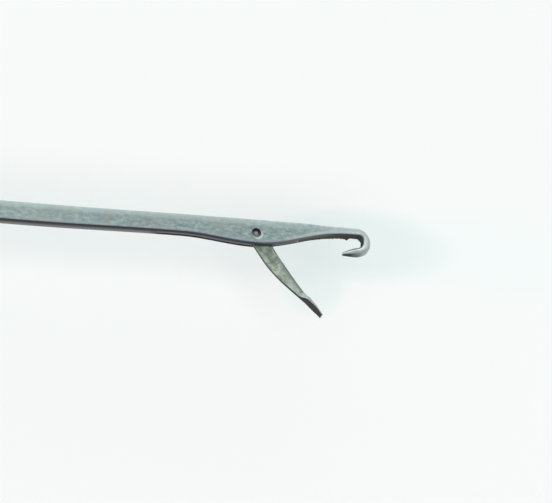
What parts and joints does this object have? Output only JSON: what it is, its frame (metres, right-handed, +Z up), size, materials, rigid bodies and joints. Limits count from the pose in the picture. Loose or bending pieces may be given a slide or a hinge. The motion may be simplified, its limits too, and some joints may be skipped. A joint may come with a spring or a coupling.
{
  "type": "loop turner",
  "caption": "Slim flat steel rod with a finger ring at one end and, at the other, a slotted head with a swinging riveted latch and a small round hook.",
  "frame": {"origin": "middle of the footprint, on the broad face that the tool lies on", "axes": "+X along the bar towards the hook, +Y towards the nearly straight back edge, +Z up out of the broad face"},
  "size_m": [0.265, 0.024, 0.0012],
  "materials": {
    "bar_steel": "satin, faintly mottled, with polished edges at the hook",
    "latch_steel": "satin with light tarnish spots",
    "rivet_steel": "peened, with a bright raised rim"
  },
  "bodies": {
    "bar": {"finger_ring": "bar_steel", "shank": "bar_steel", "hook_head": "bar_steel", "latch_rivet": "rivet_steel"},
    "latch": {"latch": "latch_steel"}
  },
  "joints": [
    {"name": "latch_swing", "type": "hinge", "parent": "bar", "child": "latch", "pos_m": [0.12195, -0.00026, 0.0006], "axis": [0, 0, 1], "range_deg": [-120, 42.2]}
  ]
}
